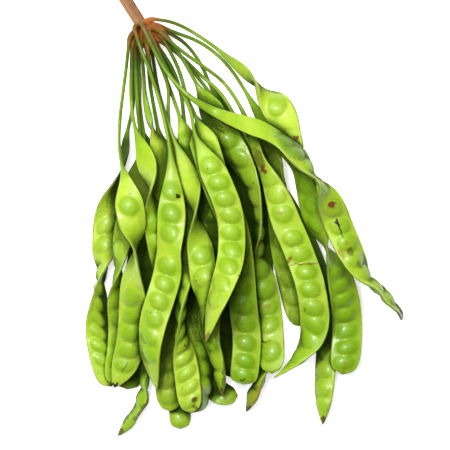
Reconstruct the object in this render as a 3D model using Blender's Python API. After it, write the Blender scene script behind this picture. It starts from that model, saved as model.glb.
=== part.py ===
"""A bunch of stink bean (petai) pods on one fruiting stalk, lying on a flat surface.

The bunch lies in the XY plane with its stalk towards +Y, and Z is up. The pods are laid one
after the other, from the lowest to the highest, each on top of those that lie under it.
Lengths are in millimetres until a mesh is made.
"""

import math
from collections import namedtuple

import bmesh
import bpy
import numpy as np

COLLECTION = "stink_bean_pod_bunch"
MM = 0.001

# The routes are drawn on a square grid, x to the right and y down, from the grid's corner.
GRID = 1.25
GRID_CENTRE = (243.7, 205.8)

# A pod's blade
SEED_PITCH = 20.5
SEED_SHORTEST_HALF = 7.5
SEED_LONGEST_HALF = 12.5
SEED_HALF_WIDTH = 12.8
SEED_RELIEF = 4.6
SEED_SLANT = 0.14
SEED_DOME = 0.6
SEED_FILL = 0.52
SEED_SHIFT = 0.8
SEED_SIDE_SHIFT = 1.3
SEED_FULLNESS = (0.85, 1.08)
LAST_SEED_FULLNESS = 0.8
FIRST_SEED_IN_NECK = 0.75
LAST_SEED_IN_TIP = 0.45
WEB_HALF_THICKNESS = 2.4
RIM_HALF_THICKNESS = 1.2
NARROW_WEB = 0.35
NARROW_HALF_WIDTH = 14.0
TIP_REACH = 95.0
TIP_TAPER = 1.6
NIB_HALF_WIDTH = 1.6

# A pod's thin stalk
STALK_RADIUS = 2.25
BASE_SWELL = 1.0
BASE_REACH = 18.0
STALK_SIDE_THINNING = 0.59
STALK_SIDE_POWER = 2.2

# How the pods lie on each other
CLEARANCE = 1.0
SIDE_CLEARANCE = 0.8
REST_CUT = 0.8
PATH_STEP = 2.0
PILE_CELL = 2.0
PILE_REACH = 340.0
SETTLE_ROUNDS = 3
STALK_BEND_RADIUS = 50.0
BLADE_BEND_RADIUS = 160.0
SMOOTHING = 7.0

# The fruiting stalk and its head
GAP = 0.3
STUB_LENGTH = 8.0
STUB_ROOT_RADIUS = 4.6
STUB_ROOT_SPREAD = 0.3
STUB_ROOT_DROP = 3.0
STUB_ROOT_LOWEST = 6.0
STUB_ROOT_COVER = 8.0
STUB_SIDES = 8
HEAD_CENTRE = (147, 34)
HEAD_HALF_SIZE = (16.5, 16.5)
HEAD_HEIGHT = 34.0
HEAD_EDGE = 0.35
HEAD_BLOCKINESS = 3
HEAD_DETAIL = 3
WART_DEPTH = 0.05
WART_COUNTS = (9, 8, 7)
HEAD_JOINT = (142, 25)
MAIN_STALK_RADIUS = 7.75
MAIN_STALK_SIDES = 16
MAIN_STALK_RING_STEP = 10.0
MAIN_STALK_ROUTE = [(112, -22), (119, -11), (126, 0), (133, 11), (140, 22), (147, 34)]

# blade_from is the number of the route's point where the blade starts, width is the blade's
# greatest width, neck is how long it takes to reach that width, and a blunt end has a high
# bluntness. A route's points are (x, y, roll): at roll 0 the blade lies flat. seeds are the
# grid's y at each seed, where they aren't evenly spaced, and slant is how far along the blade a
# seed's crest moves for each millimetre off its middle.
POD_FIELDS = "name blade_from width neck bluntness route seeds slant"
Pod = namedtuple("Pod", POD_FIELDS, defaults=[None, SEED_SLANT])

PODS = [
    Pod("pod_01", 3, 33, 40, 4, [
        (138, 47, 0), (139, 75, 0), (138, 100, 0), (141, 128, 20), (149, 152, 35), (151, 178, 10),
        (147, 215, 0), (140, 260, 0), (134, 305, 0), (130, 350, 0), (127, 390, 0)]),
    Pod("pod_02", 2, 27, 40, 4, [
        (147, 52, 0), (150, 85, 0), (157, 125, 0), (165, 170, 0), (170, 220, 0), (173, 275, 0),
        (176, 330, 0), (179, 380, 0), (180, 430, 0)]),
    Pod("pod_03", 2, 32, 50, 3, [
        (152, 53, 0), (158, 90, 0), (170, 130, 0), (185, 175, 0), (196, 225, 0), (200, 280, 0),
        (199, 330, 0), (203, 365, -10), (210, 384, -20), (222, 395, -25), (238, 396, -25)]),
    Pod("pod_04", 2, 34, 35, 3, [
        (158, 46, 0), (173, 78, 0), (195, 115, 0), (219, 160, 0), (230, 205, 0), (231, 255, 0),
        (228, 300, 0), (229, 335, 0), (231, 378, 0)]),
    Pod("pod_05", 3, 32, 55, 2, [
        (166, 31, 0), (182, 40, 0), (200, 62, 0), (210, 84, 20), (223, 110, 45), (239, 140, 15),
        (252, 185, 0), (259, 235, 0), (261, 285, 0), (261, 335, 0), (262, 360, 20), (260, 379, 80),
        (254, 394, 58), (246, 413, 66)]),
    Pod("pod_06", 3, 34, 45, 3, [
        (162, 37, 0), (184, 60, 0), (208, 90, 0), (230, 118, 0), (251, 134, 10), (267, 147, 40),
        (275, 160, 60), (277, 175, 62), (278, 192, 45), (281, 222, 20), (285, 252, 0), (291, 280, 0),
        (303, 327, 0)]),
    Pod("pod_07", 5, 30, 80, 1.8, [
        (160, 41, 0), (176, 52, 0), (200, 74, 0), (220, 92, 0), (234, 115, 0), (248, 140, 20),
        (260, 162, 40), (272, 185, 30), (288, 212, 0), (310, 255, 0), (324, 300, 0), (328, 342, 20),
        (325, 380, 35), (323, 426, 35)]),
    Pod("pod_08", 4, 32, 60, 2, [
        (156, 44, 0), (165, 56, 0), (174, 72, 0), (181, 95, 0), (184, 120, 0), (189, 155, 0),
        (190, 210, 0), (190, 260, 0), (194, 302, -10), (200, 338, -25), (204, 368, -50),
        (206, 392, -75), (201, 409, -85), (189, 413, -85)]),
    Pod("pod_09", 4, 34, 45, 3, [
        (133, 43, 0), (134, 62, 0), (134, 84, 0), (132, 108, 10), (128, 126, 40), (125, 143, 60),
        (124, 163, 85), (117, 184, 108), (109, 206, 150), (106, 226, 178), (105, 244, 185),
        (102, 262, 235), (101, 272, 262), (100, 284, 282), (99, 300, 305), (97, 330, 335),
        (101, 352, 345), (111, 387, 350)],
        seeds=[225, 244, 274, 291, 305, 319, 333, 347, 361], slant=0.45),
    Pod("pod_10", 6, 24, 60, 2, [
        (136, 46, 0), (138, 62, 0), (140, 80, 0), (139, 98, 0), (141, 118, 0), (145, 145, 0),
        (147, 180, 10), (145, 235, 30), (145, 262, 20), (146, 290, 0), (145, 325, 0), (143, 350, 20),
        (144, 368, 50), (144, 386, 90), (143, 399, 50), (136, 412, 68), (128, 424, 42), (117, 437, 50)],
        seeds=[220, 240, 262, 283, 303, 323, 343, 362, 380, 399, 424]),
    Pod("pod_11", 3, 33, 45, 3, [
        (135, 46, 0), (136, 80, 0), (138, 115, 0), (141, 145, 0), (140, 175, 0), (133, 205, 15),
        (124, 232, 40), (120, 254, 55), (118, 273, 85), (118, 293, 140), (121, 318, 180),
        (120, 350, 185), (114, 386, 185)],
        seeds=[205, 225, 250, 278, 298, 317, 340, 360]),
    Pod("pod_12", 5, 38, 115, 3, [
        (161, 26, 0), (175, 32, 0), (197, 40, 0), (217, 54, 0), (232, 70, 0), (243, 87, 0),
        (257, 111, 10), (273, 135, 38), (290, 152, 54), (302, 170, 56), (309, 190, 35),
        (315, 212, 25), (321, 234, 60), (328, 252, 100), (336, 268, 135), (343, 290, 160),
        (347, 315, 175), (347, 345, 180), (343, 375, 180)],
        seeds=[120, 141, 163, 185, 205, 224, 270, 284, 298, 314, 331, 348, 363]),
    Pod("pod_13", 2, 33, 125, 3, [
        (141, 50, 0), (143, 66, 0), (144, 82, 10), (145, 98, 20), (148, 114, 40), (152, 128, 80),
        (158, 142, 150), (162, 160, 150), (167, 200, 175), (170, 265, 180), (168, 315, 180),
        (167, 350, 180), (170, 412, 180)],
        seeds=[185, 208, 230, 250, 270, 290, 310, 328, 346, 363, 380, 396]),
    Pod("pod_14", 2, 30, 50, 2, [
        (156, 47, 0), (166, 78, 0), (178, 112, 0), (191, 152, 0), (204, 198, 0), (212, 245, 0),
        (213, 290, 0), (209, 322, 20), (212, 343, 50), (218, 362, 60), (222, 396, 60)]),
    Pod("pod_15", 3, 32, 60, 2, [
        (132, 47, 0), (131, 75, 0), (131, 100, 0), (134, 124, 15), (143, 151, 25), (150, 176, 55),
        (151, 194, 95), (154, 214, 145), (159, 240, 170), (165, 270, 180), (169, 305, 180)],
        seeds=[222, 241, 260, 279]),
    Pod("pod_16", 4, 39, 120, 3, [
        (155, 19, 0), (170, 21, 0), (185, 27, 0), (200, 36, 0), (212, 44, 0), (225, 55, 10),
        (240, 68, 32), (252, 79, 68), (260, 87, 98), (267, 96, 138), (275, 105, 170),
        (281, 115, 185), (286, 127, 210), (290, 139, 224), (298, 158, 230)],
        seeds=[107, 138]),
    Pod("pod_17", 3, 34, 45, 3, [
        (164, 32, 0), (174, 46, 0), (185, 63, 0), (195, 81, 0), (207, 103, 25), (218, 122, 15),
        (229, 141, 5), (241, 161, 30), (252, 186, 55), (258, 211, 75), (260, 236, 88),
        (258, 258, 115), (263, 280, 160), (267, 302, 175), (270, 330, 185), (272, 374, 195)],
        seeds=[139, 158, 178, 198, 215, 232, 249, 269, 290, 308, 325, 352]),
    Pod("pod_18", 5, 32, 50, 3, [
        (151, 39, 0), (160, 64, 0), (168, 86, 0), (168, 116, 0), (172, 146, 0), (179, 180, 0),
        (186, 220, 0), (187, 250, 30), (184, 280, 55), (181, 308, 85), (180, 330, 100),
        (183, 350, 145), (187, 374, 180), (191, 413, 185)],
        seeds=[235, 255, 275, 293, 311, 329, 344, 358, 373, 388, 401], slant=0.45),
    Pod("pod_19", 4, 34, 70, 2, [
        (148, 49, 0), (151, 72, 0), (158, 93, 0), (166, 116, 0), (173, 137, 0), (181, 156, 0),
        (189, 182, 25), (195, 210, 80), (197, 231, 125), (201, 253, 175), (203, 277, 195),
        (204, 297, 235), (202, 316, 265), (207, 338, 270)],
        seeds=[256, 277, 297]),
    Pod("pod_20", 5, 36, 60, 2, [
        (129, 41, 0), (127, 62, 0), (123, 92, 0), (119, 125, 15), (119, 145, 35), (121, 160, 50),
        (126, 182, 25), (130, 206, 0), (133, 225, -20), (136, 243, -75), (135, 258, -102),
        (133, 275, -128), (133, 300, -160), (132, 332, -178), (128, 355, -180), (114, 388, -180)],
        seeds=[206, 296, 314, 332, 350, 365]),
    Pod("pod_21", 4, 36, 35, 4, [
        (163, 39, 0), (171, 53, 0), (180, 73, 0), (187, 98, 0), (196, 117, 10), (204, 143, 0),
        (217, 185, 0), (234, 228, 0), (240, 268, 0), (243, 305, 0), (247, 340, 0), (243, 385, 0)],
        seeds=[150, 170, 190, 210, 229, 248, 267, 286, 305, 324, 343, 361, 376]),
    Pod("pod_22", 5, 37, 175, 1.4, [
        (160, 32, 0), (173, 44, 0), (190, 57, 0), (206, 68, 0), (222, 80, 0), (236, 99, 0),
        (247, 121, 10), (254, 141, 25), (260, 160, 50), (266, 171, 45), (272, 183, 30),
        (279, 201, 12), (286, 222, 0), (294, 240, 0), (302, 260, 0), (309, 280, 0), (313, 300, 0),
        (315, 322, 8), (311, 340, 36), (302, 355, 52), (289, 367, 58), (274, 378, 50)],
        seeds=[178, 195, 213, 238, 254, 272, 289, 307, 324, 341, 357]),
    Pod("pod_23", 5, 36, 95, 1.7, [
        (135, 31, 0), (140, 47, 0), (148, 66, 0), (156, 90, 0), (164, 119, 0), (169, 143, 0),
        (172, 172, 0), (172, 205, 0), (171, 233, 20), (169, 252, 35), (168, 272, 10), (161, 297, 0),
        (153, 324, 20), (150, 350, 45), (157, 390, 50)],
        seeds=[191, 214, 233, 266, 284, 301, 318, 336, 353]),
    Pod("pod_24", 5, 34, 62, 1.7, [
        (153, 41, 0), (162, 60, 0), (173, 80, 0), (186, 100, 0), (192, 116, 0), (194, 132, 0),
        (203, 152, 0), (219, 184, 0), (229, 211, 0), (232, 238, 0), (230, 262, 10), (223, 284, 30),
        (214, 309, 50), (206, 341, 50)],
        seeds=[166, 183, 199, 215, 233, 250, 267, 284, 300]),
    Pod("pod_25", 3, 35, 215, 3, [
        (143, 27, 0), (150, 42, 0), (160, 62, 0), (171, 78, 0), (185, 93, 0), (205, 107, 0),
        (228, 118, 0), (250, 126, -10), (267, 133, -42), (283, 143, -54), (296, 155, -44),
        (306, 167, -62), (316, 180, -95), (323, 192, -52), (331, 207, -8), (341, 232, -4),
        (352, 255, -25), (362, 272, -50), (374, 285, -86), (385, 295, -62), (393, 304, -86),
        (404, 318, -62)],
        seeds=[143, 155, 167, 187, 207, 226, 243, 259, 273, 286, 298]),
]

# The section's points across the blade, as parts of its half-width, along the upper side
SECTION = (-1.0, -0.32, 0.32, 1.0)
PILE_SECTION = np.linspace(-1.0, 1.0, 25)
STALK_STATION_STEP = 18.0
NECK_STATION_STEP = 15.0
SEED_STATION_STEP = 12.0
TIP_STATIONS = (0.15, 0.5, 0.8, 0.95)

FLOOR_SLAB = (1400.0, 1400.0, 100.0)


def clear_scene():
    for existing in list(bpy.data.objects):
        bpy.data.objects.remove(existing, do_unlink=True)


def new_collection(name):
    collection = bpy.data.collections.new(name)
    bpy.context.scene.collection.children.link(collection)
    return collection


def new_material(name, colour, roughness):
    material = bpy.data.materials.new(name)
    material.use_nodes = True
    shader = material.node_tree.nodes["Principled BSDF"]
    shader.inputs["Base Color"].default_value = (*colour, 1.0)
    shader.inputs["Roughness"].default_value = roughness
    shader.inputs["Metallic"].default_value = 0.0
    return material


def on_sheet(points):
    """Grid points as millimetres about the middle of the bunch, with y up."""
    grid = np.asarray(points, float)
    sheet = grid.copy()
    sheet[:, 0] = (grid[:, 0] - GRID_CENTRE[0]) * GRID
    sheet[:, 1] = (GRID_CENTRE[1] - grid[:, 1]) * GRID
    return sheet


def smoothed(values, spread):
    """The values along a path, blurred by a bell curve whose spread is in steps."""
    reach = int(3 * spread)
    offsets = np.arange(-reach, reach + 1)
    weights = np.exp(-0.5 * (offsets / spread) ** 2)
    padded = np.pad(values, reach, mode="reflect", reflect_type="odd")
    return np.convolve(padded, weights / weights.sum(), mode="valid")


def spline_through(points):
    """A smooth curve through the points, read every PATH_STEP, and how far along each point lies."""
    chords = np.linalg.norm(np.diff(points[:, :2], axis=0), axis=1)
    knots = np.concatenate([[0.0], np.cumsum(chords)])
    slopes = np.gradient(points, knots, axis=0)
    places = np.linspace(0.0, knots[-1], int(round(knots[-1] / PATH_STEP)) + 1)
    span = np.clip(np.searchsorted(knots, places, side="right") - 1, 0, len(chords) - 1)
    length = chords[span][:, None]
    t = ((places - knots[span]) / chords[span])[:, None]
    rows = (
        (2 * t**3 - 3 * t**2 + 1) * points[span]
        + (t**3 - 2 * t**2 + t) * length * slopes[span]
        + (3 * t**2 - 2 * t**3) * points[span + 1]
        + (t**3 - t**2) * length * slopes[span + 1]
    )
    rows = np.column_stack([smoothed(column, SMOOTHING / PATH_STEP) for column in rows.T])
    return rows, knots


class PodShape:
    """A pod's route over the sheet and the size of its section at each place along it."""

    def __init__(self, pod):
        self.pod = pod
        points = on_sheet(pod.route)
        lead = points[0, :2] - points[1, :2]
        lead *= STUB_LENGTH / np.linalg.norm(lead)
        points = np.vstack([[*(points[0, :2] + lead), points[0, 2]], points])
        rows, knots = spline_through(points)
        self.sheet = rows[:, :2]
        self.roll = np.radians(rows[:, 2])
        steps = np.linalg.norm(np.diff(self.sheet, axis=0), axis=1)
        self.along = np.concatenate([[0.0], np.cumsum(steps)])
        self.length = self.along[-1]
        self.blade_start = knots[pod.blade_from + 1] * self.length / knots[-1]
        self.tip_start = self.length - TIP_REACH / pod.bluntness
        self.seeds = self.place_seeds()

    def place_seeds(self):
        """Where each seed lies along the blade, half its length, how full it is and how far off
        the blade's middle."""
        rng = np.random.default_rng(int(self.pod.name[-2:]))
        if self.pod.seeds:
            levels = (GRID_CENTRE[1] - np.array(self.pod.seeds)) * GRID
            places = np.interp(-levels, -self.sheet[:, 1], self.along)
        else:
            first = self.blade_start + FIRST_SEED_IN_NECK * self.pod.neck
            last = self.length - LAST_SEED_IN_TIP * TIP_REACH / self.pod.bluntness
            count = int((last - first) / SEED_PITCH)
            places = np.linspace(first, last, count)
            places += rng.uniform(-SEED_SHIFT, SEED_SHIFT, count)
        gaps = np.diff(places)
        nearest = np.minimum(np.append(gaps, gaps[-1]), np.insert(gaps, 0, gaps[0]))
        half_length = np.clip(SEED_FILL * nearest, SEED_SHORTEST_HALF, SEED_LONGEST_HALF)
        fullness = rng.uniform(*SEED_FULLNESS, len(places))
        fullness[-1] *= LAST_SEED_FULLNESS
        aside = rng.uniform(-SEED_SIDE_SHIFT, SEED_SIDE_SHIFT, len(places))
        return places, half_length, fullness, aside

    def stalk_radius(self, along):
        """The thin stalk swells towards its base."""
        return STALK_RADIUS + BASE_SWELL * np.clip(1.0 - along / BASE_REACH, 0.0, 1.0) ** 2

    def fullness(self, along):
        """0 in the thin stalk, 1 where the blade has its full width."""
        t = np.clip((along - self.blade_start) / self.pod.neck, 0.0, 1.0)
        return t * t * (3 - 2 * t)

    def half_width(self, along):
        blade = self.fullness(along)
        t = np.clip((along - self.tip_start) / (self.length - self.tip_start), 0.0, 1.0)
        tip = (1.0 - t**self.pod.bluntness) ** (TIP_TAPER / self.pod.bluntness)
        stalk = self.stalk_radius(along)
        full = (stalk + (self.pod.width / 2 - stalk) * blade) * tip
        return np.maximum(full, NIB_HALF_WIDTH)

    def half_thickness(self, along, across):
        """Half of the blade's thickness, at a part across of its half-width."""
        half_width = self.half_width(along)
        blade = self.fullness(along)
        side = STALK_SIDE_THINNING * np.abs(across) ** STALK_SIDE_POWER
        round_stalk = self.stalk_radius(along) * (1.0 - side)
        web = WEB_HALF_THICKNESS - (WEB_HALF_THICKNESS - RIM_HALF_THICKNESS) * across**2
        web = web * np.minimum(1.0, NARROW_WEB + half_width / NARROW_HALF_WIDTH)
        relief = np.zeros(np.broadcast(along, across).shape)
        off_centre = across * half_width
        for place, half_length, full, aside in zip(*self.seeds):
            beyond = along - place - self.pod.slant * off_centre
            sideways = (off_centre - aside) / SEED_HALF_WIDTH
            inside = 1.0 - (beyond / half_length) ** 2 - sideways**2
            dome = full * SEED_RELIEF * np.maximum(inside, 0.0) ** SEED_DOME
            relief = np.maximum(relief, dome)
        relief *= np.minimum(1.0, half_width / SEED_HALF_WIDTH) ** 2
        return round_stalk * (1.0 - blade) + (web + relief) * blade

    def sideways(self):
        """A unit vector on the sheet, square to the route, at each step."""
        ahead = np.gradient(self.sheet, axis=0)
        ahead /= np.linalg.norm(ahead, axis=1)[:, None]
        return np.column_stack([-ahead[:, 1], ahead[:, 0]])

    def pile_points(self, margin):
        """Points of the pod's surface over the sheet, and how high each is above its middle line."""
        along = self.along[:, None]
        across = PILE_SECTION[None, :]
        out = across * (self.half_width(along) + margin)
        thick = self.half_thickness(along, across)
        out = np.concatenate([out, out], axis=1)
        thick = np.concatenate([thick, -thick], axis=1)
        roll = self.roll[:, None]
        lateral = out * np.cos(roll) - thick * np.sin(roll)
        height = out * np.sin(roll) + thick * np.cos(roll)
        places = self.sheet[:, None, :] + lateral[:, :, None] * self.sideways()[:, None, :]
        return places, height


class Pile:
    """The height of what is already on the surface, over a grid of small cells."""

    def __init__(self):
        side = np.arange(-PILE_REACH, PILE_REACH + PILE_CELL, PILE_CELL)
        over_head = head_top(np.stack(np.meshgrid(side, side, indexing="ij"), axis=-1))
        self.top = np.where(over_head > 0, over_head, -REST_CUT - CLEARANCE)

    def cells(self, places):
        index = np.round((places + PILE_REACH) / PILE_CELL).astype(int)
        return index[..., 0], index[..., 1]

    def settle(self, shape):
        """Lay the pod down on what is under it, and return the height of its middle line."""
        places, height = shape.pile_points(SIDE_CLEARANCE)
        needed = (self.top[self.cells(places)] - height).max(axis=1) + CLEARANCE
        blade = shape.fullness(shape.along)
        bend = STALK_BEND_RADIUS + (BLADE_BEND_RADIUS - STALK_BEND_RADIUS) * blade
        steps = np.diff(shape.along) / np.sqrt(2 * bend[1:])
        warped = np.concatenate([[0.0], np.cumsum(steps)])
        drop = (warped[:, None] - warped[None, :]) ** 2
        wanted = needed.copy()
        for _ in range(SETTLE_ROUNDS):
            line = smoothed((wanted[None, :] - drop).max(axis=1), SMOOTHING / PATH_STEP)
            wanted += np.maximum(needed - line, 0.0)
        places, height = shape.pile_points(0.0)
        np.maximum.at(self.top, self.cells(places), line[:, None] + height)
        return line


def head_top(places):
    """How high the head stands over a place on the sheet."""
    centre = on_sheet([HEAD_CENTRE])[0]
    inside = 1.0 - (((places - centre) / HEAD_HALF_SIZE) ** 2).sum(axis=-1)
    return HEAD_HEIGHT * np.maximum(inside, 0.0) ** HEAD_EDGE


def lay_pods():
    """Every pod's shape with the height of its middle line."""
    pile = Pile()
    laid = []
    for pod in PODS:
        shape = PodShape(pod)
        shape.line = pile.settle(shape)
        laid.append(shape)
    return laid


def read_at(stations, along, columns):
    """Each column's value at the stations."""
    return np.column_stack([np.interp(stations, along, column) for column in columns.T])


def frames(shape, stations):
    """The middle line's points and the two directions of the section at the stations."""
    middle = np.column_stack([shape.sheet, shape.line])
    ahead = np.gradient(middle, shape.along, axis=0)
    centres = read_at(stations, shape.along, middle)
    ahead = read_at(stations, shape.along, ahead)
    ahead /= np.linalg.norm(ahead, axis=1)[:, None]
    side = np.cross([0.0, 0.0, 1.0], ahead)
    side /= np.linalg.norm(side, axis=1)[:, None]
    up = np.cross(ahead, side)
    roll = np.interp(stations, shape.along, shape.roll)[:, None]
    across = np.cos(roll) * side + np.sin(roll) * up
    face = np.cos(roll) * up - np.sin(roll) * side
    return centres, across, face, ahead


def blade_stations(shape):
    """Places along a pod for its sections: at each seed's crest and in each dip between two."""
    crests = shape.seeds[0]
    marks = [STUB_LENGTH + GAP, shape.blade_start, *crests]
    steps = [STALK_STATION_STEP, NECK_STATION_STEP] + [SEED_STATION_STEP] * (len(crests) - 1)
    stations = []
    for start, end, step in zip(marks[:-1], marks[1:], steps):
        count = max(1, round((end - start) / step))
        stations.append(np.linspace(start, end, count, endpoint=False))
    reach = shape.length - shape.tip_start
    tip = shape.tip_start + reach * np.array(TIP_STATIONS)
    stations.append([crests[-1], *tip[tip > crests[-1] + SEED_SHORTEST_HALF], shape.length])
    return np.concatenate(stations)


def mesh_object(name, points, faces, material, collection):
    mesh = bpy.data.meshes.new(name)
    mesh.from_pydata([tuple(p) for p in points * MM], [], faces)
    mesh.materials.append(material)
    made = bpy.data.objects.new(name, mesh)
    collection.objects.link(made)
    return made


def tube_faces(rings, sides):
    """Faces of a closed tube made of rings, one after the other, with an end face on each end."""
    faces = []
    for ring in range(rings - 1):
        for k in range(sides):
            after = (k + 1) % sides
            low = ring * sides
            high = low + sides
            faces.append((low + k, low + after, high + after, high + k))
    last = (rings - 1) * sides
    faces.append(tuple(reversed(range(sides))))
    faces.append(tuple(range(last, last + sides)))
    return faces


def make_pod(shape, material, collection):
    """A loft of flat sections along the pod's middle line."""
    stations = blade_stations(shape)
    centres, across, face, _ = frames(shape, stations)
    parts = np.array(SECTION)[None, :]
    out = parts * shape.half_width(stations)[:, None]
    thick = shape.half_thickness(stations[:, None], parts)
    out = np.concatenate([out, out[:, ::-1]], axis=1)
    thick = np.concatenate([thick, -thick[:, ::-1]], axis=1)
    rings = centres[:, None] + out[:, :, None] * across[:, None] + thick[:, :, None] * face[:, None]
    faces = tube_faces(len(rings), rings.shape[1])
    made = mesh_object(shape.pod.name, rings.reshape(-1, 3), faces, material, collection)
    outward(made.data)
    return made


def outward(mesh):
    """Triangles only, all facing out."""
    work = bmesh.new()
    work.from_mesh(mesh)
    bmesh.ops.triangulate(work, faces=work.faces[:])
    bmesh.ops.recalc_face_normals(work, faces=work.faces[:])
    work.to_mesh(mesh)
    work.free()


def tube_rings(centres, aheads, radii, sides):
    """Circles of points square to each direction, with no twist from one to the next."""
    turns = np.arange(sides)[:, None] * 2 * math.pi / sides
    side = np.cross([0.0, 0.0, 1.0], aheads[0])
    rings = []
    for centre, ahead, radius in zip(centres, aheads, radii):
        side = side - side.dot(ahead) * ahead
        side /= np.linalg.norm(side)
        up = np.cross(ahead, side)
        rings.append(centre + radius * (np.cos(turns) * side + np.sin(turns) * up))
    return np.vstack(rings)


def make_stub(shape, material, collection):
    """The short stub on the head that a pod's thin stalk grows from."""
    ends = STUB_LENGTH * np.array([1.0, 0.5, 0.125])
    centres, _, _, aheads = frames(shape, ends)
    joint = on_sheet([HEAD_JOINT])[0]
    root = centres[-1].copy()
    root[:2] = joint + STUB_ROOT_SPREAD * (root[:2] - joint)
    root[2] = np.clip(root[2] - STUB_ROOT_DROP, STUB_ROOT_LOWEST, HEAD_HEIGHT - STUB_ROOT_COVER)
    out_of_root = (centres[-1] - root) / np.linalg.norm(centres[-1] - root)
    centres = np.vstack([centres, root])
    aheads = np.vstack([aheads, out_of_root])
    radii = np.append(shape.stalk_radius(ends), STUB_ROOT_RADIUS)
    points = tube_rings(centres, aheads, radii, STUB_SIDES)
    faces = tube_faces(len(radii), STUB_SIDES)
    made = mesh_object("stub_" + shape.pod.name, points, faces, material, collection)
    outward(made.data)
    return made


def hide(piece):
    """A piece that only shapes another is drawn as wire and isn't rendered."""
    piece.hide_render = True
    piece.display_type = "WIRE"


def make_head(material, collection):
    """The knobbly head: a squat ball with low warts."""
    work = bmesh.new()
    bmesh.ops.create_icosphere(work, subdivisions=HEAD_DETAIL, radius=1.0)
    centre = on_sheet([HEAD_CENTRE])[0]
    size = np.array([*HEAD_HALF_SIZE, HEAD_HEIGHT / 2])
    for vertex in work.verts:
        way = np.array(vertex.co)
        wart = 1.0 + WART_DEPTH * np.prod(np.sin(way * WART_COUNTS + 1.0))
        blocky = (np.abs(way) ** HEAD_BLOCKINESS).sum() ** (-1 / HEAD_BLOCKINESS)
        spot = way * size * blocky * wart
        vertex.co = (np.array([*centre, HEAD_HEIGHT / 2]) + spot) * MM
    mesh = bpy.data.meshes.new("fruiting_stalk")
    work.to_mesh(mesh)
    work.free()
    mesh.materials.append(material)
    made = bpy.data.objects.new("fruiting_stalk", mesh)
    collection.objects.link(made)
    return made


def make_main_stalk(material, collection):
    """The thick stalk that the head ends, cut off square at its far end."""
    points = on_sheet(MAIN_STALK_ROUTE)
    rows, _ = spline_through(np.column_stack([points, np.zeros(len(points))]))
    rows = rows[:: int(MAIN_STALK_RING_STEP / PATH_STEP)]
    heights = np.linspace(MAIN_STALK_RADIUS - REST_CUT, HEAD_HEIGHT / 2, len(rows))
    middle = np.column_stack([rows[:, :2], heights])
    ahead = np.gradient(middle, axis=0)
    ahead /= np.linalg.norm(ahead, axis=1)[:, None]
    radii = np.full(len(middle), MAIN_STALK_RADIUS)
    points = tube_rings(middle, ahead, radii, MAIN_STALK_SIDES)
    faces = tube_faces(len(middle), MAIN_STALK_SIDES)
    made = mesh_object("main_stalk", points, faces, material, collection)
    outward(made.data)
    return made


def floor_cutter(collection):
    """A slab under the surface that the bunch lies on. It flattens what would reach below it."""
    work = bmesh.new()
    bmesh.ops.create_cube(work, size=1.0)
    bmesh.ops.scale(work, verts=work.verts[:], vec=[side * MM for side in FLOOR_SLAB])
    bmesh.ops.translate(work, verts=work.verts[:], vec=(0.0, 0.0, -FLOOR_SLAB[2] / 2 * MM))
    mesh = bpy.data.meshes.new("floor_cutter")
    work.to_mesh(mesh)
    work.free()
    cutter = bpy.data.objects.new("floor_cutter", mesh)
    collection.objects.link(cutter)
    hide(cutter)
    return cutter


def add_boolean(target, name, operation, other=None, group=None):
    boolean = target.modifiers.new(name, "BOOLEAN")
    boolean.operation = operation
    boolean.solver = "EXACT"
    if group is not None:
        boolean.operand_type = "COLLECTION"
        boolean.collection = group
    else:
        boolean.object = other


def main():
    clear_scene()
    parts = new_collection(COLLECTION)
    cutters = new_collection("cutters")
    unions = new_collection("grown_together")
    green = new_material("pod_green", (0.33, 0.55, 0.04), 0.4)
    brown = new_material("stalk_brown", (0.40, 0.19, 0.08), 0.7)
    cutter = floor_cutter(cutters)
    laid = lay_pods()
    for shape in laid:
        pod = make_pod(shape, green, parts)
        if min(vertex.co.z for vertex in pod.data.vertices) < 0:
            add_boolean(pod, "rest", "DIFFERENCE", cutter)
        hide(make_stub(shape, brown, unions))
    hide(make_main_stalk(brown, unions))
    head = make_head(brown, parts)
    add_boolean(head, "stubs", "UNION", group=unions)
    add_boolean(head, "rest", "DIFFERENCE", cutter)


main()
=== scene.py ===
"""The looks of a bunch of stink bean pods: fine pods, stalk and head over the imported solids.

The bunch lies in the XY plane with its stalk towards +Y, and Z is up. Lengths are in
millimetres until a mesh is made. The pods' routes and sizes are the same as the solids'.
"""

import math
from collections import namedtuple

import bmesh
import bpy
import mathutils
import numpy as np
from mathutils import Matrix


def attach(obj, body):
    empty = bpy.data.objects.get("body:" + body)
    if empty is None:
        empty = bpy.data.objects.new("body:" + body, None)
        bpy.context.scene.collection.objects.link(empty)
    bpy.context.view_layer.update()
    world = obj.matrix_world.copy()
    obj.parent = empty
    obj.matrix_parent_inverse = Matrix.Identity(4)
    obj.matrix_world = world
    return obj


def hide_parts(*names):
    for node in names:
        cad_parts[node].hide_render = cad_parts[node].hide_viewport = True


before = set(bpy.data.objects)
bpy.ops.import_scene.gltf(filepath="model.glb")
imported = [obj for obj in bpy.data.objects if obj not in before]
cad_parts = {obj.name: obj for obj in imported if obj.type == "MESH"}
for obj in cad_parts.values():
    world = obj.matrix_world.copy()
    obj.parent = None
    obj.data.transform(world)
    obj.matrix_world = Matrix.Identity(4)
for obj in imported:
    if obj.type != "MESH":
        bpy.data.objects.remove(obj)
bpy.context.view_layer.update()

MM = 0.001

# The grid that the routes are drawn on, x to the right and y down, from its corner
GRID = 1.25
GRID_CENTRE = (243.7, 205.8)

# The camera: the middle and the width of what it sees on the grid, and the height that it fits
VIEW_CENTRE = (225, 225)
VIEW_WIDTH = 450
SHARP_HEIGHT = 50.0
CAMERA_DISTANCE = 10.0
SENSOR = 36.0

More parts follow.
